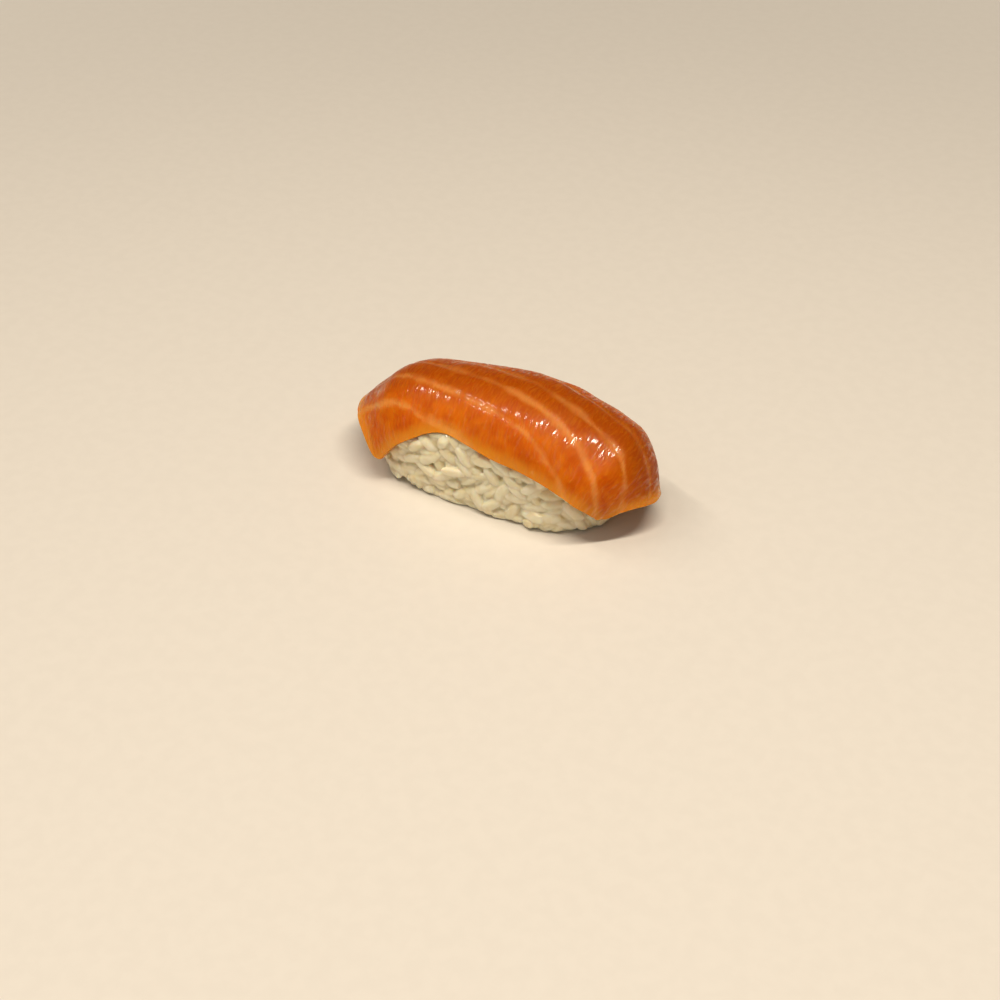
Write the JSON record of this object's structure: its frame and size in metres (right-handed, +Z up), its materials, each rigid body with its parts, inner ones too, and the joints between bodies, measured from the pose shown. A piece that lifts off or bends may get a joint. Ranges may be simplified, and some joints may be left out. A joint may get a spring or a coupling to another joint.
{
  "type": "salmon nigiri",
  "caption": "Sushi: a pressed oblong loaf of vinegared rice under a slice of raw salmon that drapes over it and hangs past its ends.",
  "frame": {"origin": "middle of the whole piece's bounding box, on the surface that the rice stands on", "axes": "+X along the loaf, towards the salmon's shorter overhang; +Y across it, towards the back; +Z up"},
  "size_m": [0.068, 0.0268, 0.0254],
  "materials": {
    "rice": "moist, slightly sticky cooked rice",
    "salmon": "wet raw salmon with thin pale fat lines"
  },
  "bodies": {
    "root": {"rice": "rice", "salmon": "salmon"}
  },
  "joints": []
}
